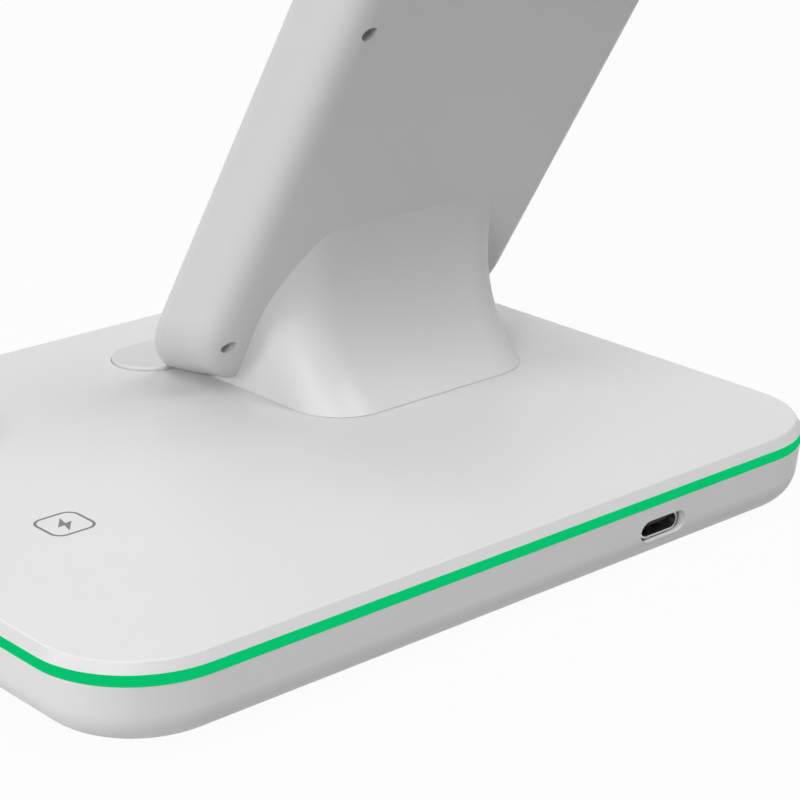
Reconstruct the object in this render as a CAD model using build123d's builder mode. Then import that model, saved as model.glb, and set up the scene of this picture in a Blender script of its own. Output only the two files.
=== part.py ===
from build123d import *
import os
from math import cos, hypot, radians, sin, sqrt, tan

# Base: outline at the light band, heights from the table upwards
base_width = 156.0
base_depth = 126.0
base_corner_radius = 17.6
foot_proud = 1.0
tray_height = 10.6
band_height = 1.8
rim_height = 1.7

# Clearances
fit_gap = 0.1
seam_gap = 0.15
band_proud = 0.05

# Lower tray of the base
tray_wall = 2.2
tray_floor = 2.0
tray_draft = 6.0
tray_edge_radius = 6.0
pillar_inset = 14.0
pillar_diameter = 7.0
pillar_height = 7.5
foot_diameter = 11.6
foot_recess = 0.8
foot_edge_radius = 0.4

# Lid of the base
lid_thickness = 2.4
lid_draft = 31.0
lid_edge_radius = 0.45
skirt_wall = 1.2
skirt_depth = 3.6
lid_boss_diameter = 6.4

# Light band and what lights it
band_wall = 2.2
led_thickness = 0.8
led_length = 2.8
leds_long_side = 9
leds_short_side = 7
strip_thickness = 0.3

# Power socket in the rear wall
port_offset = 0.9
port_drop = 5.4
port_width = 10.6
port_height = 3.9
port_setback = 1.6
socket_width = 8.94
socket_height = 3.26
socket_length = 7.4
socket_wall = 0.3
socket_back = 1.0
tongue_width = 6.7
tongue_thickness = 0.7
tongue_length = 5.0

# Main circuit board
board_width = 50.0
board_depth = 32.0
board_thickness = 1.2
board_setback = 5.0
board_corner_radius = 1.5
board_hole_inset = 4.0
board_boss_diameter = 5.0
chip_size = 6.0
chip_height = 0.9
chip_spacing = 13.0
inductor_size = 6.6
inductor_height = 3.0
inductor_edge_radius = 0.8
capacitor_diameter = 6.3
capacitor_height = 5.4
component_spacing = 22.0
plug_width = 8.0
plug_depth = 5.0
plug_height = 4.0

# Stand: its middle from the base's end, and the phone panel's back from the base's front edge
stand_inset = 44.4
stand_setback = 43.0

# Neck between base and phone panel
neck_foot_width = 50.5
neck_top_width = 55.1
neck_front_reach = 12.2
neck_rear_reach = 28.1
neck_arch_height = 37.2
neck_rear_radius = 27.0
neck_corner_radius = 10.2
neck_front_radius = 4.0
neck_front_lean = 22.0
neck_wall = 2.2
neck_seam = 0.1
neck_bite = 0.6
neck_spans = 6
neck_overrun = 3.5
neck_boss_diameter = 7.0
neck_boss_height = 6.0
neck_boss_x = 20.5
neck_boss_rear = 20.0
neck_boss_front = 8.0

# Phone panel: "up" is measured along its back, from the line where that plane meets the lid
panel_tilt = 58.3
panel_end_dive = 10.0
panel_bottom_up = -0.7
panel_width = 71.6
panel_length = 126.0
panel_thickness = 13.3
panel_corner_radius = 20.0
panel_back_radius = 4.7
panel_foot_radius = 3.0
panel_wall = 2.0
cover_thickness = 1.5
cover_edge_radius = 0.4
cover_lip_wall = 1.2
cover_lip_depth = 2.0
panel_screw_inset = 5.0
panel_screw_low_up = 11.7
panel_screw_high_up = 83.9
panel_boss_diameter = 5.2
panel_boss_height = 6.0
cover_boss_diameter = 5.0
screw_well_diameter = 2.9
screw_well_depth = 4.5

# Phone coil behind the front cover
coil_up = 60.0
coil_thickness = 1.2
phone_coil_diameter = 50.0
phone_coil_eye = 20.0
ferrite_thickness = 0.8
phone_ferrite_size = 52.0
ferrite_corner_radius = 4.0
carrier_width = 55.0
carrier_length = 62.0
carrier_thickness = 1.2
carrier_corner_radius = 5.0
carrier_post_diameter = 5.0
carrier_post_inset = 4.5

# Lead from the board through the neck to the phone coil
lead_diameter = 2.4
lead_gate_up = 16.0
lead_gate_width = 12.0
lead_gate_length = 7.0
lead_reach = 4.0
lead_depth = 5.0
lead_end_up = 36.0
lead_bend_radius = 4.5
lead_hole_width = 12.0
lead_hole_depth = 9.0

# Pad under the phone's lower edge
pad_length = 70.2
pad_width = 14.5
pad_reach = 21.6
pad_proud = 0.7
pad_pocket = 0.8
pad_edge_radius = 0.5

# Earbuds place: centre under the printed sign
earbuds_inset = 27.6
earbuds_setback = 50.7
earbuds_coil_diameter = 40.0
earbuds_coil_eye = 18.0
earbuds_ferrite_diameter = 42.0

# Watch place: low round puck
watch_inset = 26.5
watch_setback = 24.5
puck_diameter = 31.0
puck_wall = 1.5
puck_roof = 1.4
puck_recess = 0.5
puck_edge_radius = 1.2
dish_diameter = 26.0
dish_depth = 0.5
puck_boss_diameter = 3.6
puck_boss_radius = 12.8
watch_coil_diameter = 21.0
watch_coil_eye = 11.0
watch_ferrite_diameter = 21.6
watch_magnet_diameter = 9.6
wire_hole_diameter = 5.0

# Screws: head diameter, head height, shank diameter, shank length
base_screw = (4.8, 1.6, 2.4, 8.0)
board_screw = (3.6, 1.3, 1.7, 3.2)
neck_screw = (5.0, 1.8, 2.6, 6.6)
panel_screw = (2.6, 1.2, 1.5, 5.0)
puck_screw = (3.2, 1.2, 1.5, 3.4)
head_room = 0.3
pilot_room = 0.4

# Places and levels that follow from the sizes above
pillar_x = base_width / 2 - pillar_inset
pillar_y = base_depth / 2 - pillar_inset
stand_x = stand_inset - base_width / 2
panel_back_y = stand_setback - base_depth / 2
port_x = stand_x + port_offset
pad_y = panel_back_y - pad_reach
earbuds_x = base_width / 2 - earbuds_inset
earbuds_y = base_depth / 2 - earbuds_setback
watch_x = base_width / 2 - watch_inset
watch_y = watch_setback - base_depth / 2
neck_foot_front = panel_back_y - neck_front_reach
neck_foot_rear = panel_back_y + neck_rear_reach
underside_z = foot_proud
floor_z = underside_z + tray_floor
band_z = underside_z + tray_height
rim_z = band_z + band_height
deck_z = rim_z + rim_height
lid_under_z = deck_z - lid_thickness
pillar_top_z = underside_z + pillar_height
port_z = band_z + band_height / 2 - port_drop
board_top_z = port_z - socket_height / 2
board_under_z = board_top_z - board_thickness
board_rear_y = base_depth / 2 - board_setback
board_front_y = board_rear_y - board_depth
board_y = board_rear_y - board_depth / 2
port_mouth_y = base_depth / 2 - port_setback
strip_inset = band_wall + fit_gap + led_thickness
skirt_inset = strip_inset + strip_thickness
led_height = band_height - (lid_thickness - rim_height) - fit_gap

panel_plane = Plane(
    origin=(stand_x, panel_back_y, deck_z),
    x_dir=(1, 0, 0),
    z_dir=(0, -sin(radians(panel_tilt)), cos(radians(panel_tilt))),
)
panel_axis = Axis(panel_plane.origin, panel_plane.z_dir)
panel_mid_up = panel_bottom_up + panel_length / 2
panel_run = radians(panel_tilt - panel_end_dive)
panel_draw = Vector(0, -cos(radians(panel_end_dive)), -sin(radians(panel_end_dive)))
panel_foot_z = deck_z + fit_gap
cover_foot_z = deck_z + pad_proud + fit_gap
cover_seat = panel_thickness - cover_thickness
panel_screw_x = panel_width / 2 - panel_screw_inset
panel_screw_spots = [
    (side * panel_screw_x, up) for side in (-1, 1) for up in (panel_screw_low_up, panel_screw_high_up)
]
coil_back = cover_seat - coil_thickness
ferrite_back = coil_back - ferrite_thickness
carrier_back = ferrite_back - carrier_thickness
gate_outside = panel_plane.from_local_coords((0, lead_gate_up, -lead_reach))

neck_boss_spots = [
    (stand_x + side * neck_boss_x, panel_back_y + reach)
    for side in (-1, 1)
    for reach in (neck_boss_rear, neck_boss_front)
]
puck_boss_spots = [(watch_x + side * puck_boss_radius, watch_y) for side in (-1, 1)]
board_hole_x = board_width / 2 - board_hole_inset
board_hole_y = board_depth / 2 - board_hole_inset
board_hole_spots = [
    (port_x + side * board_hole_x, board_y + end * board_hole_y) for side in (-1, 1) for end in (-1, 1)
]


def base_outline(inset, mode=Mode.ADD):
    # Rounded rectangle of the base, drawn in from the light band's outside
    RectangleRounded(base_width - 2 * inset, base_depth - 2 * inset, base_corner_radius - inset, mode=mode)


def tray_form(inset, depth, edge_radius):
    # Drafted bowl that hangs from the underside of the light band
    hanging = Plane(origin=(0, 0, band_z), x_dir=(1, 0, 0), z_dir=(0, 0, -1))
    with BuildPart() as form:
        with BuildSketch(hanging):
            base_outline(inset)
        extrude(amount=depth, taper=tray_draft)
        fillet(form.faces().sort_by(Axis.Z)[0].edges(), edge_radius)
    return form.part


def panel_slab(back, front, inset, foot_z, rounded=False):
    # Slice of the phone panel between two depths, drawn along its sloping ends and cut level at its foot
    width = panel_width - 2 * inset
    length = panel_length - 2 * inset
    with BuildPart() as slab:
        with BuildSketch(panel_plane.offset(back)):
            with Locations((0, panel_mid_up - back / tan(panel_run))):
                RectangleRounded(width, length, panel_corner_radius - inset)
        extrude(amount=(front - back) / sin(panel_run), dir=panel_draw)
        if rounded:
            fillet(slab.faces().sort_by(panel_axis)[0].edges(), panel_back_radius - inset)
        split(bisect_by=Plane.XY.offset(foot_z), keep=Keep.TOP)
    return slab.part


def neck_rear(height):
    # Rear line of the neck: an arc from the foot up to the top of the arch on the panel's back
    rise = neck_arch_height * sin(radians(panel_tilt))
    run = panel_back_y + neck_arch_height * cos(radians(panel_tilt)) - neck_foot_rear
    chord = hypot(run, rise)
    reach = sqrt(neck_rear_radius**2 - chord**2 / 4) / chord
    centre_y = neck_foot_rear + run / 2 + reach * rise
    centre_height = rise / 2 - reach * run
    return centre_y - sqrt(neck_rear_radius**2 - (height - centre_height) ** 2)


def neck_outline(height, inset):
    # Level section of the neck at a height above the lid
    top = neck_arch_height * sin(radians(panel_tilt))
    width = neck_foot_width + (neck_top_width - neck_foot_width) * height / top - 2 * inset
    rear = neck_rear(height) - inset
    front = neck_foot_front + height * tan(radians(neck_front_lean)) + inset
    with BuildSketch(Plane.XY.offset(deck_z + height)) as section:
        with Locations((stand_x, (front + rear) / 2)):
            Rectangle(width, rear - front)
        fillet(section.vertices().group_by(Axis.Y)[-1], neck_corner_radius - inset)
        fillet(section.vertices().group_by(Axis.Y)[0], neck_front_radius - inset)
    return section.sketch


def neck_form(inset):
    # Waisted block of the neck, on a low plinth that leaves a fine seam above the lid
    top = neck_arch_height * sin(radians(panel_tilt)) + neck_overrun
    with BuildPart() as form:
        for step in range(neck_spans + 1):
            add(neck_outline(neck_seam + (top - neck_seam) * step / neck_spans, inset))
        loft()
        extrude(neck_outline(neck_seam, inset + neck_seam), amount=-neck_seam)
    return form.part


def screw(size):
    # Pan-head screw on Z, with the underside of its head at zero
    head_diameter, head_height, shank_diameter, shank_length = size
    with BuildPart() as body:
        with BuildSketch(Plane.XY.offset(-head_height)):
            Circle(head_diameter / 2)
        extrude(amount=head_height)
        chamfer(body.faces().sort_by(Axis.Z)[0].edges(), head_height / 4)
        with BuildSketch():
            Circle(shank_diameter / 2)
        extrude(amount=shank_length)
    return body.part


def flat_coil(plane, outer_diameter, eye_diameter):
    # Pancake winding with its first face on the plane
    with BuildPart() as winding:
        with BuildSketch(plane):
            Circle(outer_diameter / 2)
            Circle(eye_diameter / 2, mode=Mode.SUBTRACT)
        extrude(amount=coil_thickness)
    return winding.part


# Lower tray: bowl, screw pillars over the feet, board bosses and the hole for the socket
tray_outside = tray_form(band_proud, tray_height, tray_edge_radius)
tray_inside = tray_form(band_proud + tray_wall, tray_height - tray_floor, tray_edge_radius - tray_wall)
base_head_seat_z = underside_z + foot_recess + head_room + base_screw[1]
with BuildPart() as base_bottom_shell:
    add(tray_outside)
    add(tray_inside, mode=Mode.SUBTRACT)
    with BuildSketch(Plane.XY.offset(floor_z - fit_gap)):
        with GridLocations(2 * pillar_x, 2 * pillar_y, 2, 2):
            Circle(pillar_diameter / 2)
    extrude(amount=pillar_top_z - floor_z + fit_gap)
    with BuildSketch(Plane.XY.offset(floor_z - fit_gap)):
        with Locations(*board_hole_spots):
            Circle(board_boss_diameter / 2)
    extrude(amount=board_under_z - floor_z + fit_gap)
    with BuildSketch(Plane.XY.offset(underside_z)):
        with GridLocations(2 * pillar_x, 2 * pillar_y, 2, 2):
            Circle(foot_diameter / 2 + fit_gap)
    extrude(amount=foot_recess, mode=Mode.SUBTRACT)
    with BuildSketch(Plane.XY.offset(underside_z)):
        with GridLocations(2 * pillar_x, 2 * pillar_y, 2, 2):
            Circle(base_screw[0] / 2 + fit_gap)
    extrude(amount=base_head_seat_z - underside_z, mode=Mode.SUBTRACT)
    with BuildSketch(Plane.XY.offset(underside_z)):
        with GridLocations(2 * pillar_x, 2 * pillar_y, 2, 2):
            Circle(base_screw[2] / 2 + fit_gap)
    extrude(amount=pillar_height, mode=Mode.SUBTRACT)
    with BuildSketch(Plane.XY.offset(board_under_z)):
        with Locations(*board_hole_spots):
            Circle(board_screw[2] / 2 + fit_gap)
    extrude(amount=board_thickness - board_screw[3] - pilot_room, mode=Mode.SUBTRACT)
    with BuildSketch(Plane.XZ.offset(-base_depth / 2)):
        with Locations((port_x, port_z)):
            SlotOverall(port_width, port_height)
    extrude(amount=board_setback, mode=Mode.SUBTRACT)

# Lid: rounded rim over the light band, locating plate and skirt inside it, pockets for what stands on it
with BuildPart() as base_top_cover:
    with BuildSketch(Plane.XY.offset(rim_z)):
        base_outline(band_proud)
    extrude(amount=rim_height, taper=lid_draft)
    fillet(base_top_cover.faces().sort_by(Axis.Z)[-1].edges(), lid_edge_radius)
    with BuildSketch(Plane.XY.offset(lid_under_z)):
        base_outline(band_wall + fit_gap)
    extrude(amount=lid_thickness - rim_height)
    with BuildSketch(Plane.XY.offset(lid_under_z)):
        base_outline(skirt_inset)
        base_outline(skirt_inset + skirt_wall, mode=Mode.SUBTRACT)
    extrude(amount=-skirt_depth)
    with BuildSketch(Plane.XY.offset(pillar_top_z)):
        with GridLocations(2 * pillar_x, 2 * pillar_y, 2, 2):
            Circle(lid_boss_diameter / 2)
    extrude(amount=lid_under_z - pillar_top_z)
    with BuildSketch(Plane.XY.offset(pillar_top_z)):
        with GridLocations(2 * pillar_x, 2 * pillar_y, 2, 2):
            Circle(base_screw[2] / 2 + fit_gap)
    extrude(amount=lid_under_z - pillar_top_z, mode=Mode.SUBTRACT)
    with BuildSketch(Plane.XY.offset(deck_z)):
        with Locations(*neck_boss_spots):
            Circle(neck_screw[2] / 2 + fit_gap)
        with Locations(*puck_boss_spots):
            Circle(puck_screw[2] / 2 + fit_gap)
        with Locations((watch_x, watch_y)):
            Circle(wire_hole_diameter / 2)
    extrude(amount=-lid_thickness, mode=Mode.SUBTRACT)
    with BuildSketch(Plane.XY.offset(deck_z)):
        with Locations((stand_x, gate_outside.Y)):
            RectangleRounded(lead_hole_width, lead_hole_depth, lead_diameter)
    extrude(amount=-lid_thickness, mode=Mode.SUBTRACT)
    with BuildSketch(Plane.XY.offset(deck_z)):
        with Locations((stand_x, pad_y)):
            SlotOverall(pad_length, pad_width)
    extrude(amount=-pad_pocket, mode=Mode.SUBTRACT)
    with BuildSketch(Plane.XY.offset(deck_z)):
        with Locations((watch_x, watch_y)):
            Circle(puck_diameter / 2 + seam_gap)
    extrude(amount=-puck_recess, mode=Mode.SUBTRACT)

# Light guide between tray and lid
with BuildPart() as light_ring:
    with BuildSketch(Plane.XY.offset(band_z)):
        base_outline(0)
        base_outline(band_wall, mode=Mode.SUBTRACT)
    extrude(amount=band_height)

# Flexible strip round the skirt, and the lamps on it
with BuildPart() as led_strip:
    with BuildSketch(Plane.XY.offset(band_z)):
        base_outline(strip_inset)
        base_outline(skirt_inset, mode=Mode.SUBTRACT)
    extrude(amount=led_height)

lamp_x = base_width / 2 - strip_inset + led_thickness / 2
lamp_y = base_depth / 2 - strip_inset + led_thickness / 2
lamp_run_x = base_width - 2 * base_corner_radius - led_length
lamp_run_y = base_depth - 2 * base_corner_radius - led_length
with BuildPart() as leds:
    with BuildSketch(Plane.XY.offset(band_z)):
        with GridLocations(lamp_run_x / (leds_long_side - 1), 2 * lamp_y, leds_long_side, 2):
            Rectangle(led_length, led_thickness)
        with GridLocations(2 * lamp_x, lamp_run_y / (leds_short_side - 1), 2, leds_short_side):
            Rectangle(led_thickness, led_length)
    extrude(amount=led_height)

# Rubber feet, pressed over the screw wells
with BuildPart() as rubber_feet:
    with BuildSketch():
        with GridLocations(2 * pillar_x, 2 * pillar_y, 2, 2):
            Circle(foot_diameter / 2)
    extrude(amount=foot_proud + foot_recess)
    fillet(rubber_feet.edges().group_by(Axis.Z)[0], foot_edge_radius)

with BuildPart(Plane.XY.offset(base_head_seat_z)) as base_screws:
    with GridLocations(2 * pillar_x, 2 * pillar_y, 2, 2):
        add(screw(base_screw))

# Power socket: drawn steel sleeve, open to the rear, with its tongue
with BuildPart() as usb_c_shell:
    with BuildSketch(Plane.XZ.offset(-port_mouth_y)):
        with Locations((port_x, port_z)):
            SlotOverall(socket_width, socket_height)
    extrude(amount=socket_length)
    with BuildSketch(Plane.XZ.offset(-port_mouth_y)):
        with Locations((port_x, port_z)):
            SlotOverall(socket_width - 2 * socket_wall, socket_height - 2 * socket_wall)
    extrude(amount=socket_length - socket_back, mode=Mode.SUBTRACT)

tongue_root_y = port_mouth_y - socket_length + socket_back
with BuildPart() as usb_c_tongue:
    with BuildSketch(Plane.XZ.offset(-tongue_root_y)):
        with Locations((port_x, port_z)):
            RectangleRounded(tongue_width, tongue_thickness, tongue_thickness / 4)
    extrude(amount=-tongue_length)

# Main circuit board and what is soldered to it
with BuildPart() as main_circuit_board:
    with BuildSketch(Plane.XY.offset(board_under_z)):
        with Locations((port_x, board_y)):
            RectangleRounded(board_width, board_depth, board_corner_radius)
        with Locations(*board_hole_spots):
            Circle(board_screw[2] / 2 + fit_gap, mode=Mode.SUBTRACT)
    extrude(amount=board_thickness)

board_head_plane = Plane(origin=(0, 0, board_top_z), x_dir=(1, 0, 0), z_dir=(0, 0, -1))
with BuildPart(board_head_plane) as board_screws:
    with Locations(*[(x, -y) for x, y in board_hole_spots]):
        add(screw(board_screw))

with BuildPart() as controller_chips:
    with BuildSketch(Plane.XY.offset(board_top_z)):
        with Locations((port_x, board_y)):
            with GridLocations(chip_spacing, 1, 2, 1):
                Rectangle(chip_size, chip_size)
    extrude(amount=chip_height)

with BuildPart() as power_inductors:
    with BuildSketch(Plane.XY.offset(board_top_z)):
        with Locations((port_x, board_y - board_depth / 4)):
            with GridLocations(component_spacing, 1, 2, 1):
                RectangleRounded(inductor_size, inductor_size, inductor_edge_radius)
    extrude(amount=inductor_height)
    chamfer(power_inductors.faces().group_by(Axis.Z)[-1].edges(), inductor_edge_radius / 2)

with BuildPart() as filter_capacitors:
    with BuildSketch(Plane.XY.offset(board_top_z)):
        with Locations((port_x, board_y + board_depth / 4)):
            with GridLocations(component_spacing, 1, 2, 1):
                Circle(capacitor_diameter / 2)
    extrude(amount=capacitor_height)

# Phone pad, set into the lid
with BuildPart() as phone_rest_pad:
    with BuildSketch(Plane.XY.offset(deck_z - pad_pocket)):
        with Locations((stand_x, pad_y)):
            SlotOverall(pad_length - 2 * seam_gap, pad_width - 2 * seam_gap)
    extrude(amount=pad_pocket + pad_proud)
    fillet(phone_rest_pad.faces().sort_by(Axis.Z)[-1].edges(), pad_edge_radius)

# Earbuds coil under the lid
earbuds_plane = Plane(origin=(earbuds_x, earbuds_y, lid_under_z - coil_thickness))
earbuds_coil = flat_coil(earbuds_plane, earbuds_coil_diameter, earbuds_coil_eye)
with BuildPart() as earbuds_ferrite:
    with BuildSketch(earbuds_plane):
        Circle(earbuds_ferrite_diameter / 2)
    extrude(amount=-ferrite_thickness)

# Watch puck: dished cap over its coil, ferrite and magnet
puck_seat_z = deck_z - puck_recess
watch_coil_z = puck_seat_z + ferrite_thickness
puck_roof_z = watch_coil_z + coil_thickness
puck_top_z = puck_roof_z + puck_roof
dish_radius = (dish_diameter**2 / 4 + dish_depth**2) / (2 * dish_depth)
watch_plane = Plane(origin=(watch_x, watch_y, puck_seat_z))
with BuildPart() as watch_puck:
    with BuildSketch(watch_plane):
        Circle(puck_diameter / 2)
    extrude(amount=puck_top_z - puck_seat_z)
    fillet(watch_puck.faces().sort_by(Axis.Z)[-1].edges(), puck_edge_radius)
    with Locations((watch_x, watch_y, puck_top_z - dish_depth + dish_radius)):
        Sphere(dish_radius, mode=Mode.SUBTRACT)
    with BuildSketch(watch_plane):
        Circle(puck_diameter / 2 - puck_wall)
        with Locations(*[(x - watch_x, y - watch_y) for x, y in puck_boss_spots]):
            Circle(puck_boss_diameter / 2, mode=Mode.SUBTRACT)
    extrude(amount=puck_roof_z - puck_seat_z, mode=Mode.SUBTRACT)
    with BuildSketch(Plane.XY.offset(puck_seat_z)):
        with Locations(*puck_boss_spots):
            Circle(puck_screw[2] / 2 + fit_gap)
    extrude(amount=puck_roof_z - puck_seat_z, mode=Mode.SUBTRACT)

watch_coil = flat_coil(Plane(origin=(watch_x, watch_y, watch_coil_z)), watch_coil_diameter, watch_coil_eye)
with BuildPart() as watch_ferrite:
    with BuildSketch(watch_plane):
        Circle(watch_ferrite_diameter / 2)
    extrude(amount=ferrite_thickness)
with BuildPart() as watch_magnet:
    with BuildSketch(Plane(origin=(watch_x, watch_y, watch_coil_z))):
        Circle(watch_magnet_diameter / 2)
    extrude(amount=coil_thickness)
with BuildPart(Plane.XY.offset(lid_under_z)) as puck_screws:
    with Locations(*puck_boss_spots):
        add(screw(puck_screw))

# Neck: hollow flared housing that runs smoothly out into the panel's back
neck_outside = neck_form(0)
neck_inside = neck_form(neck_wall)
with BuildPart() as neck_bosses:
    with BuildSketch(Plane.XY.offset(deck_z)):
        with Locations(*neck_boss_spots):
            Circle(neck_boss_diameter / 2)
    extrude(amount=neck_boss_height)
    add(neck_outside, mode=Mode.INTERSECT)
with BuildPart() as neck_housing:
    add(neck_outside)
    add(neck_inside, mode=Mode.SUBTRACT)
    add(neck_bosses.part)
    add(panel_slab(neck_bite, panel_thickness + neck_foot_width, neck_bite, lid_under_z, True), mode=Mode.SUBTRACT)
    with BuildSketch(Plane.XY.offset(deck_z)):
        with Locations(*neck_boss_spots):
            Circle(neck_screw[2] / 2 + fit_gap)
    extrude(amount=neck_screw[3] - lid_thickness + pilot_room, mode=Mode.SUBTRACT)

with BuildPart(Plane.XY.offset(lid_under_z)) as neck_foot_screws:
    with Locations(*neck_boss_spots):
        add(screw(neck_screw))

# Stand shell: the neck and the phone panel's back in one moulding, with four screw wells and the gate for the lead
with BuildPart() as stand_shell:
    add(panel_slab(0, cover_seat, 0, panel_foot_z, True))
    foot_edges = stand_shell.faces().sort_by(Axis.Z)[0].edges().sort_by(panel_axis)
    fillet(foot_edges[:-1], panel_foot_radius)
    add(neck_housing.part)
    add(panel_slab(panel_wall, cover_seat, panel_wall, panel_foot_z + panel_wall, True), mode=Mode.SUBTRACT)
    with BuildSketch(panel_plane.offset(panel_wall - fit_gap)):
        with Locations(*panel_screw_spots):
            Circle(panel_boss_diameter / 2)
    extrude(amount=panel_boss_height - panel_wall + fit_gap)
    with BuildSketch(panel_plane):
        with Locations(*panel_screw_spots):
            Circle(screw_well_diameter / 2)
    extrude(amount=screw_well_depth, mode=Mode.SUBTRACT)
    with BuildSketch(panel_plane):
        with Locations(*panel_screw_spots):
            Circle(panel_screw[2] / 2 + fit_gap)
    extrude(amount=panel_boss_height, mode=Mode.SUBTRACT)
    with BuildSketch(panel_plane):
        with Locations((0, lead_gate_up)):
            RectangleRounded(lead_gate_width, lead_gate_length, lead_diameter)
    extrude(amount=panel_wall, mode=Mode.SUBTRACT)

# Front cover of the phone panel: plate that ends above the phone pad, locating lip and screw bosses
lip_back = cover_seat - cover_lip_depth
lip_inset = panel_wall + fit_gap
lip_bore = lip_inset + cover_lip_wall
with BuildPart() as panel_front_cover:
    add(panel_slab(cover_seat, panel_thickness, 0, cover_foot_z))
    fillet(panel_front_cover.faces().sort_by(panel_axis)[-1].edges(), cover_edge_radius)
    add(panel_slab(lip_back, cover_seat, lip_inset, panel_foot_z + lip_inset))
    add(panel_slab(lip_back, cover_seat, lip_bore, panel_foot_z + lip_bore), mode=Mode.SUBTRACT)
    with BuildSketch(panel_plane.offset(cover_seat)):
        with Locations(*panel_screw_spots):
            Circle(cover_boss_diameter / 2)
    extrude(amount=panel_boss_height - cover_seat)
    with BuildSketch(panel_plane.offset(panel_boss_height)):
        with Locations(*panel_screw_spots):
            Circle(panel_screw[2] / 2 + fit_gap)
    extrude(amount=cover_seat - panel_boss_height, mode=Mode.SUBTRACT)

with BuildPart(panel_plane.offset(screw_well_depth)) as panel_screws:
    with Locations(*panel_screw_spots):
        add(screw(panel_screw))

# Phone coil, its ferrite and the carrier that presses both to the front cover
coil_plane = Plane(
    origin=panel_plane.from_local_coords((0, coil_up, coil_back)), x_dir=(1, 0, 0), z_dir=panel_plane.z_dir
)
phone_coil = flat_coil(coil_plane, phone_coil_diameter, phone_coil_eye)
with BuildPart() as phone_ferrite:
    with BuildSketch(coil_plane):
        RectangleRounded(phone_ferrite_size, phone_ferrite_size, ferrite_corner_radius)
    extrude(amount=-ferrite_thickness)
carrier_post_x = carrier_width - 2 * carrier_post_inset
carrier_post_y = carrier_length - 2 * carrier_post_inset
with BuildPart() as phone_coil_carrier:
    with BuildSketch(coil_plane.offset(-ferrite_thickness)):
        RectangleRounded(carrier_width, carrier_length, carrier_corner_radius)
    extrude(amount=-carrier_thickness)
    with BuildSketch(coil_plane.offset(carrier_back - coil_back)):
        with GridLocations(carrier_post_x, carrier_post_y, 2, 2):
            Circle(carrier_post_diameter / 2)
    extrude(amount=panel_wall - carrier_back)

# Lead from the board's plug, up through the neck and its gate, to the plug on the carrier
gate_inside = panel_plane.from_local_coords((0, lead_gate_up, lead_depth))
lead_end = panel_plane.from_local_coords((0, lead_end_up, lead_depth))
lead_z = board_top_z + plug_height / 2
lead_start = Vector(stand_x, board_front_y + fit_gap, lead_z)
lead_corner = Vector(stand_x, gate_outside.Y, lead_z)
with BuildPart() as phone_coil_lead:
    with BuildLine() as lead_path:
        FilletPolyline(lead_start, lead_corner, gate_outside, gate_inside, lead_end, radius=lead_bend_radius)
    with BuildSketch(Plane(origin=lead_start, z_dir=lead_path.line @ 0.01 - lead_path.line @ 0)):
        Circle(lead_diameter / 2)
    sweep(path=lead_path.line)

with BuildPart() as lead_connectors:
    with BuildSketch(Plane.XY.offset(board_top_z)):
        with Locations((stand_x, board_front_y + fit_gap + plug_depth / 2)):
            Rectangle(plug_width, plug_depth)
    extrude(amount=plug_height)
    with BuildSketch(panel_plane.offset(carrier_back)):
        with Locations((0, lead_end_up + plug_depth / 2)):
            Rectangle(plug_width, plug_depth)
    extrude(amount=lead_depth - lead_diameter - carrier_back)

nodes = {
    "base_bottom_shell": base_bottom_shell.part,
    "base_top_cover": base_top_cover.part,
    "light_ring": light_ring.part,
    "led_strip": led_strip.part,
    "leds": leds.part,
    "rubber_feet": rubber_feet.part,
    "base_screws": base_screws.part,
    "usb_c_shell": usb_c_shell.part,
    "usb_c_tongue": usb_c_tongue.part,
    "main_circuit_board": main_circuit_board.part,
    "board_screws": board_screws.part,
    "controller_chips": controller_chips.part,
    "power_inductors": power_inductors.part,
    "filter_capacitors": filter_capacitors.part,
    "phone_rest_pad": phone_rest_pad.part,
    "earbuds_coil": earbuds_coil,
    "earbuds_ferrite": earbuds_ferrite.part,
    "watch_puck": watch_puck.part,
    "watch_coil": watch_coil,
    "watch_ferrite": watch_ferrite.part,
    "watch_magnet": watch_magnet.part,
    "puck_screws": puck_screws.part,
    "stand_shell": stand_shell.part,
    "neck_foot_screws": neck_foot_screws.part,
    "panel_front_cover": panel_front_cover.part,
    "panel_screws": panel_screws.part,
    "phone_coil": phone_coil,
    "phone_ferrite": phone_ferrite.part,
    "phone_coil_carrier": phone_coil_carrier.part,
    "phone_coil_lead": phone_coil_lead.part,
    "lead_connectors": lead_connectors.part,
}
os.makedirs("parts", exist_ok=True)
for name, part in nodes.items():
    part.label = name
    export_step(part, f"parts/{name}.step")
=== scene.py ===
from math import cos, pi, radians, sin

import bmesh
import bpy
from mathutils import Matrix, Vector


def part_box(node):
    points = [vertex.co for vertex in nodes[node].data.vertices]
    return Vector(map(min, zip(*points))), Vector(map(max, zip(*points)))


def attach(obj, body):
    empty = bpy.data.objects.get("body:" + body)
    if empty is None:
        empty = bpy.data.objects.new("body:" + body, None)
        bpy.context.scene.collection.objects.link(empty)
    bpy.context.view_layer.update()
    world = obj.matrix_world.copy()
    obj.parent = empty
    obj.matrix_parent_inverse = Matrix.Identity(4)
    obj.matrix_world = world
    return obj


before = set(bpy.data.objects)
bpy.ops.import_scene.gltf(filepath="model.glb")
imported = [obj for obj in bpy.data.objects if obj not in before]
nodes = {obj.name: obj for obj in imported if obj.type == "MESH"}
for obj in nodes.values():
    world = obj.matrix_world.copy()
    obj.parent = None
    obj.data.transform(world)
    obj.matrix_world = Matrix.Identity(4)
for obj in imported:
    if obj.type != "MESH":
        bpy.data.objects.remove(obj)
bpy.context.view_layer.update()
mm = 0.001
print("frame loaded,", len(nodes), "nodes")


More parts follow.
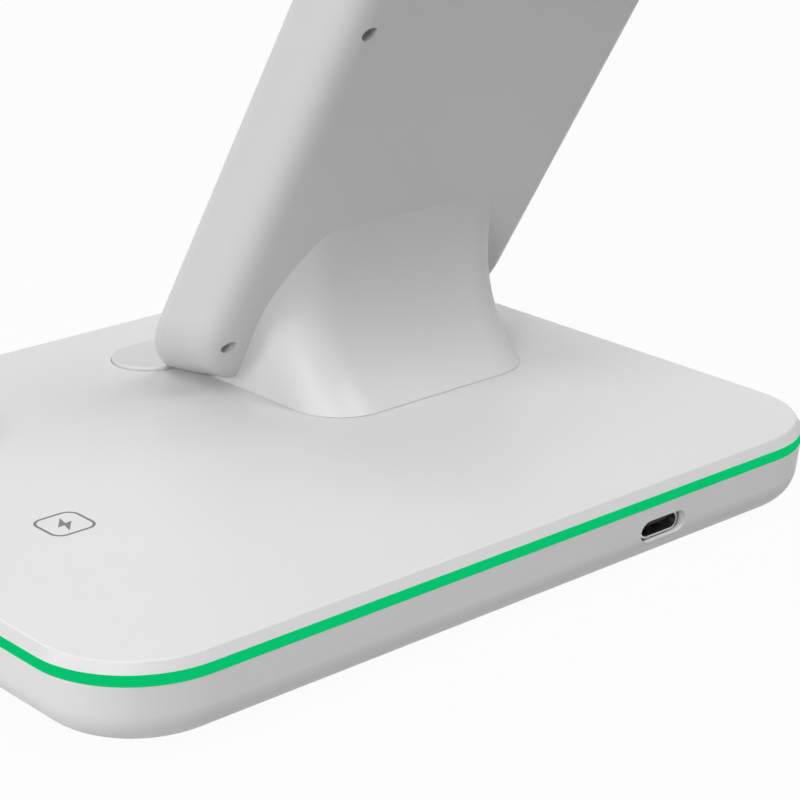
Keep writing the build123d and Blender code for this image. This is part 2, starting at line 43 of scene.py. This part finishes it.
class Flow:  # one shader socket, so that maths on it reads as a plain expression
    def __init__(self, paint, socket):
        self.paint = paint
        self.socket = socket

    def reckon(self, operation, first, second):
        return self.paint.node("ShaderNodeMath", {"operation": operation}, {0: first, 1: second})

    def __add__(self, other):
        return self.reckon("ADD", self, other)

    def __sub__(self, other):
        return self.reckon("SUBTRACT", self, other)

    def __rsub__(self, other):
        return self.reckon("SUBTRACT", other, self)

    def __mul__(self, other):
        return self.reckon("MULTIPLY", self, other)

    __radd__ = __add__
    __rmul__ = __mul__


class Paint:  # one material, built node by node
    def __init__(self, name):
        self.material = bpy.data.materials.new(name)
        self.material.use_nodes = True
        self.tree = self.material.node_tree
        self.tree.nodes.clear()

    def node(self, kind, settings, sockets, out=0):  # a node with no output comes back as it is
        made = self.tree.nodes.new(kind)
        for name, value in settings.items():
            setattr(made, name, value)
        for name, value in sockets.items():
            if isinstance(value, Flow):
                self.tree.links.new(value.socket, made.inputs[name])
            else:
                made.inputs[name].default_value = value
        return Flow(self, made.outputs[out]) if made.outputs else made

    def place(self):
        return self.node("ShaderNodeTexCoord", {}, {}, "Object")

    def noise(self, scale, detail=2.0):
        sockets = {"Vector": self.place(), "Scale": scale, "Detail": detail}
        return self.node("ShaderNodeTexNoise", {}, sockets, "Fac")

    def mix(self, factor, first, second):  # sockets 6 and 7 are Mix's colour inputs, 2 its colour output
        sockets = {0: factor, 6: (*first, 1.0), 7: (*second, 1.0)}
        return self.node("ShaderNodeMix", {"data_type": "RGBA"}, sockets, 2)

    def bump(self, height, depth, strength):
        sockets = {"Height": height, "Distance": depth, "Strength": strength}
        return self.node("ShaderNodeBump", {}, sockets, "Normal")

    def finish(self, **sockets):
        named = {key.replace("_", " "): value for key, value in sockets.items()}
        shader = self.node("ShaderNodeBsdfPrincipled", {}, named)
        self.node("ShaderNodeOutputMaterial", {}, {"Surface": shader})
        return self.material


def dress(material, *names):
    for name in names:
        nodes[name].data.materials.clear()
        nodes[name].data.materials.append(material)


def addPiece(name, shape, material):
    mesh = bpy.data.meshes.new(name)
    shape.to_mesh(mesh)
    shape.free()
    mesh.materials.append(material)
    piece = bpy.data.objects.new(name, mesh)
    bpy.context.scene.collection.objects.link(piece)
    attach(piece, "root")


# White moulded shells: satin, with a very fine spark-eroded grain
shellLook = dict(
    cloud=38.0, cloudDetail=3.0, shade=(0.98, 0.98, 0.983), specular=0.4,
    gloss=0.43, glossSpread=0.08, glossScale=240.0,
    grain=2600.0, grainDepth=0.012 * mm, grainStrength=0.5,
)
# The bottom shell is the same white plastic as the other shells; its higher tone is painted light,
# standing in for light falling on its wall.
shellTones = {
    "base_top_cover": 0.68, "base_bottom_shell": 0.83, "stand_shell": 0.68, "panel_front_cover": 0.70,
    "watch_puck": 0.68,
}


def shellPaint(name, tone, look):
    paint = Paint(name)
    cloud = paint.noise(look["cloud"], look["cloudDetail"])
    gloss = look["gloss"] + look["glossSpread"] * (paint.noise(look["glossScale"]) - 0.5)
    grain = paint.noise(look["grain"])
    return paint.finish(
        Base_Color=paint.mix(cloud, (tone, tone, tone), [tone * part for part in look["shade"]]),
        Roughness=gloss,
        Normal=paint.bump(grain, look["grainDepth"], look["grainStrength"]),
        Specular_IOR_Level=look["specular"],
    )


for node, tone in shellTones.items():
    dress(shellPaint("white_" + node, tone, shellLook), node)
print("white shells done")

# Lit band: a milky light guide whose glow varies a little along it
bandLook = dict(
    body=(0.0, 0.004, 0.002), glow=(0.0016, 0.527, 0.155), bright=(0.0024, 0.539, 0.162),
    cloud=90.0, rough=0.6,
)


def bandPaint(look):
    paint = Paint("litBand")
    glow = paint.mix(paint.noise(look["cloud"]), look["glow"], look["bright"])
    return paint.finish(
        Base_Color=(*look["body"], 1.0), Roughness=look["rough"], Specular_IOR_Level=0.0,
        Emission_Color=glow, Emission_Strength=1.0,
    )


dress(bandPaint(bandLook), "light_ring")
print("lit band done")

# Soft pieces: the phone pad and the feet
softLook = dict(cloud=120.0, grainDetail=3.0, grainStrength=0.6, roughSpread=0.12, specular=0.3)
padLook = dict(
    light=(0.63, 0.63, 0.63), dark=(0.60, 0.60, 0.60), rough=0.55, grain=1800.0, depth=0.02 * mm,
)
footLook = dict(
    light=(0.34, 0.34, 0.35), dark=(0.26, 0.26, 0.27), rough=0.8, grain=1400.0, depth=0.04 * mm,
)


def softPaint(name, look):
    paint = Paint(name)
    grain = paint.noise(look["grain"], softLook["grainDetail"])
    return paint.finish(
        Base_Color=paint.mix(paint.noise(softLook["cloud"]), look["light"], look["dark"]),
        Roughness=look["rough"] + softLook["roughSpread"] * (grain - 0.5),
        Normal=paint.bump(grain, look["depth"], softLook["grainStrength"]),
        Specular_IOR_Level=softLook["specular"],
    )


dress(softPaint("padSilicone", padLook), "phone_rest_pad")
dress(softPaint("footRubber", footLook), "rubber_feet")

# Metals: faint streaks in colour and gloss
metalLook = dict(detail=4.0, roughSpread=0.15)
steelLook = dict(light=(0.62, 0.62, 0.63), dark=(0.50, 0.50, 0.51), rough=0.28, scale=900.0)
goldLook = dict(light=(0.83, 0.60, 0.24), dark=(0.74, 0.50, 0.18), rough=0.25, scale=1200.0)
nickelLook = dict(light=(0.70, 0.69, 0.66), dark=(0.60, 0.59, 0.56), rough=0.2, scale=700.0)
canLook = dict(light=(0.74, 0.74, 0.75), dark=(0.62, 0.62, 0.63), rough=0.32, scale=500.0)


def metalPaint(name, look):
    paint = Paint(name)
    streak = paint.noise(look["scale"], metalLook["detail"])
    return paint.finish(
        Base_Color=paint.mix(streak, look["light"], look["dark"]),
        Metallic=1.0,
        Roughness=look["rough"] + metalLook["roughSpread"] * (streak - 0.5),
    )


dress(
    metalPaint("platedSteel", steelLook),
    "base_screws", "board_screws", "puck_screws", "neck_foot_screws", "panel_screws", "usb_c_shell",
)
dress(metalPaint("nickel", nickelLook), "watch_magnet")
dress(metalPaint("drawnCan", canLook), "filter_capacitors")
print("soft pieces and metals done")

# Inner moulded pieces, with the same fine grain on all of them
innerGrain = dict(grain=900.0, depth=0.02 * mm)
innerLooks = {
    "blackPlastic": dict(
        light=(0.022, 0.022, 0.024), dark=(0.014, 0.014, 0.015), rough=0.45,
        nodes=("usb_c_tongue", "controller_chips"),
    ),
    "stripFilm": dict(
        light=(0.72, 0.72, 0.70), dark=(0.66, 0.66, 0.64), rough=0.5, nodes=("led_strip",),
    ),
    "lampBody": dict(
        light=(0.78, 0.74, 0.45), dark=(0.70, 0.64, 0.34), rough=0.4, nodes=("leds",),
    ),
    "greyPlastic": dict(
        light=(0.42, 0.42, 0.42), dark=(0.36, 0.36, 0.36), rough=0.5, nodes=("phone_coil_carrier",),
    ),
    "leadSheath": dict(
        light=(0.06, 0.06, 0.06), dark=(0.04, 0.04, 0.04), rough=0.6, nodes=("phone_coil_lead",),
    ),
    "plugPlastic": dict(
        light=(0.72, 0.70, 0.62), dark=(0.65, 0.62, 0.54), rough=0.45, nodes=("lead_connectors",),
    ),
    "ferrite": dict(
        light=(0.055, 0.055, 0.06), dark=(0.03, 0.03, 0.034), rough=0.7,
        nodes=("earbuds_ferrite", "watch_ferrite", "phone_ferrite", "power_inductors"),
    ),
    "solderMask": dict(
        light=(0.02, 0.13, 0.06), dark=(0.012, 0.085, 0.04), rough=0.35, nodes=("main_circuit_board",),
    ),
}
for name, look in innerLooks.items():
    dress(softPaint(name, dict(look, **innerGrain)), *look["nodes"])

# Copper coils: turns show as fine rings round each coil's own middle
coilLook = dict(
    light=(0.76, 0.38, 0.20), dark=(0.34, 0.14, 0.06), turn=0.9 * mm, rough=0.3, metal=0.9,
    ridge=0.1 * mm, ridgeStrength=0.8,
)


def coilPaint(node, look):
    paint = Paint("wound_" + node)
    low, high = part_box(node)
    spots = {0: paint.place(), 1: (low + high) / 2}
    arm = paint.node("ShaderNodeVectorMath", {"operation": "DISTANCE"}, spots, "Value")
    wave = paint.node("ShaderNodeMath", {"operation": "SINE"}, {0: arm * (2 * pi / look["turn"])})
    turns = 0.5 + 0.5 * wave
    return paint.finish(
        Base_Color=paint.mix(turns, look["dark"], look["light"]),
        Metallic=look["metal"],
        Roughness=look["rough"],
        Normal=paint.bump(turns, look["ridge"], look["ridgeStrength"]),
    )


for node in ("earbuds_coil", "watch_coil", "phone_coil"):
    dress(coilPaint(node, coilLook), node)
print("inner pieces done")

# Printed sign of a charging place: a rounded frame with a bolt in it, the bolt's corners in mm
signLook = dict(
    middle=(50.40 * mm, 12.45 * mm), size=8.2 * mm, corner=2.2 * mm, line=0.50 * mm, arcSteps=12,
    boltMiddle=(50.42 * mm, 12.60 * mm),
    bolt=((-0.76, -2.54), (1.56, 0.40), (0.28, 0.30), (0.86, 2.54), (-1.54, -0.46), (-0.28, -0.30)),
    film=0.012 * mm, light=(0.20, 0.20, 0.20), dark=(0.175, 0.175, 0.175), rough=0.7,
    grain=2200.0, depth=0.004 * mm,
)


def roundedLoop(middle, half, corner, steps):
    loop = []
    for side in range(4):
        quarter = side * pi / 2
        spot = Vector((half - corner, half - corner))
        spot.rotate(Matrix.Rotation(quarter, 2))
        for step in range(steps + 1):
            angle = quarter + step / steps * pi / 2
            arc = Vector((corner * cos(angle), corner * sin(angle)))
            loop.append(Vector(middle) + spot + arc)
    return loop


def printedSign(look):
    shape = bmesh.new()
    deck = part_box("stand_shell")[0].z  # the stand's foot rests on the lid
    half = look["size"] / 2
    loops = [
        roundedLoop(look["middle"], half - inset, look["corner"] - inset, look["arcSteps"])
        for inset in (0, look["line"])
    ]
    outer, inner = [[shape.verts.new((*spot, deck)) for spot in loop] for loop in loops]
    count = len(outer)
    faces = [
        shape.faces.new((outer[i], outer[(i + 1) % count], inner[(i + 1) % count], inner[i]))
        for i in range(count)
    ]
    bolt = [Vector(look["boltMiddle"]) + Vector(corner) * mm for corner in look["bolt"]]
    faces.append(shape.faces.new([shape.verts.new((*spot, deck)) for spot in bolt]))
    bmesh.ops.recalc_face_normals(shape, faces=shape.faces)
    raised = bmesh.ops.extrude_face_region(shape, geom=faces, use_keep_orig=True)
    top = [made for made in raised["geom"] if isinstance(made, bmesh.types.BMVert)]
    bmesh.ops.translate(shape, verts=top, vec=(0, 0, look["film"]))
    bmesh.ops.recalc_face_normals(shape, faces=shape.faces)
    return shape


addPiece("charging_sign", printedSign(signLook), softPaint("signInk", signLook))
print("printed sign done")

# Gold contacts on both faces of the socket's tongue, half sunk in it
contactLook = dict(
    count=12, pitch=0.5 * mm, width=0.26 * mm, length=3.6 * mm, proud=0.03 * mm, tip=0.5 * mm,
)


def contactStrips(look):
    shape = bmesh.new()
    low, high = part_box("usb_c_tongue")
    middle = (low.x + high.x) / 2
    along = high.y - look["tip"] - look["length"] / 2
    size = Matrix.Diagonal((look["width"], look["length"], 2 * look["proud"], 1.0))
    for face in (low.z, high.z):
        for strip in range(look["count"]):
            across = middle + (strip - (look["count"] - 1) / 2) * look["pitch"]
            spot = Matrix.Translation((across, along, face))
            bmesh.ops.create_cube(shape, size=1.0, matrix=spot @ size)
    return shape


addPiece("socket_contacts", contactStrips(contactLook), metalPaint("contactGold", goldLook))
print("socket contacts done")

# Camera at the photograph's place, in mm and degrees
view = dict(
    place=(245.50, 309.14, 165.83), azimuth=138.222, elevation=20.321, roll=0.104,
    lens=110.39, sensor=36.0, nearest=0.01,
)
camera = bpy.data.objects.new("camera", bpy.data.cameras.new("camera"))
bpy.context.scene.collection.objects.link(camera)
camera.data.lens = view["lens"]
camera.data.sensor_width = view["sensor"]
camera.data.clip_start = view["nearest"]
place = Matrix.Translation(Vector(view["place"]) * mm)
turn = Matrix.Rotation(radians(view["azimuth"]), 4, "Z")
tilt = Matrix.Rotation(radians(90 - view["elevation"]), 4, "X")
roll = Matrix.Rotation(radians(view["roll"]), 4, "Z")
camera.matrix_world = place @ turn @ tilt @ roll
bpy.context.scene.camera = camera

# Floor and world: white where they are seen, while the lamps alone light the object
stageLook = dict(size=6.0, drop=-0.02 * mm, floor=(0.45, 0.45, 0.45), white=0.96)
pureWhite = (1.0, 1.0, 1.0, 1.0)


def seenDirectly(paint):  # 1 for what the camera, a reflection or glass shows
    rays = ("Is Camera Ray", "Is Glossy Ray", "Is Transmission Ray")
    eye, gloss, glass = [paint.node("ShaderNodeLightPath", {}, {}, ray) for ray in rays]
    return paint.node("ShaderNodeMath", {"operation": "MINIMUM"}, {0: eye + gloss + glass, 1: 1.0})


def stageFloor(look):
    shape = bmesh.new()
    bmesh.ops.create_grid(shape, x_segments=1, y_segments=1, size=look["size"] / 2)
    mesh = bpy.data.meshes.new("floor")
    shape.to_mesh(mesh)
    shape.free()
    floor = bpy.data.objects.new("floor", mesh)
    floor.location.z = look["drop"]
    bpy.context.scene.collection.objects.link(floor)
    paint = Paint("paleFloor")
    matt = paint.node("ShaderNodeBsdfDiffuse", {}, {"Color": (*look["floor"], 1.0)})
    glow = paint.node("ShaderNodeEmission", {}, {"Color": pureWhite, "Strength": 1.0})
    share = seenDirectly(paint) * look["white"]  # the rest is matt, and keeps the shadow
    both = paint.node("ShaderNodeMixShader", {}, {0: share, 1: matt, 2: glow})
    paint.node("ShaderNodeOutputMaterial", {}, {"Surface": both})
    mesh.materials.append(paint.material)


class Sky(Paint):  # the world's nodes, made in the same way
    def __init__(self):
        world = bpy.data.worlds.new("studio")
        bpy.context.scene.world = world
        world.use_nodes = True
        self.tree = world.node_tree
        self.tree.nodes.clear()


def studioSky():
    sky = Sky()
    back = sky.node("ShaderNodeBackground", {}, {"Color": pureWhite, "Strength": seenDirectly(sky)})
    sky.node("ShaderNodeOutputWorld", {}, {"Surface": back})


stageFloor(stageLook)
studioSky()

# Soft lamps: where each stands as seen from the object, in degrees, its size in m and its power in W
lamps = {
    "leftFront": dict(azimuth=340, height=22, size=0.3, power=2.76),
    "leftLow": dict(azimuth=30, height=22, size=0.3, power=2.86),
    "leftHigh": dict(azimuth=30, height=55, size=0.4, power=2.60),
    "rear": dict(azimuth=120, height=55, size=0.4, power=3.66),
    "overhead": dict(azimuth=135, height=75, size=0.5, power=2.48),
    "frontHigh": dict(azimuth=315, height=75, size=0.5, power=0.50),
    "front": dict(azimuth=270, height=38, size=0.5, power=1.20),
}
lampDistance = 1.0
lampAim = Vector((0, 0, 30 * mm))


def addLamp(name, look):
    lamp = bpy.data.lights.new(name, "AREA")
    lamp.shape = "DISK"
    lamp.size = look["size"]
    lamp.energy = look["power"]
    holder = bpy.data.objects.new(name, lamp)
    bpy.context.scene.collection.objects.link(holder)
    side = radians(look["azimuth"])
    rise = radians(look["height"])
    direction = Vector((cos(rise) * cos(side), cos(rise) * sin(side), sin(rise)))
    holder.location = lampAim + direction * lampDistance
    holder.rotation_mode = "QUATERNION"
    holder.rotation_quaternion = direction.to_track_quat("Z", "Y")


for name, look in lamps.items():
    addLamp(name, look)
bpy.context.scene.view_settings.view_transform = "Standard"
print("camera, stage and lamps done")
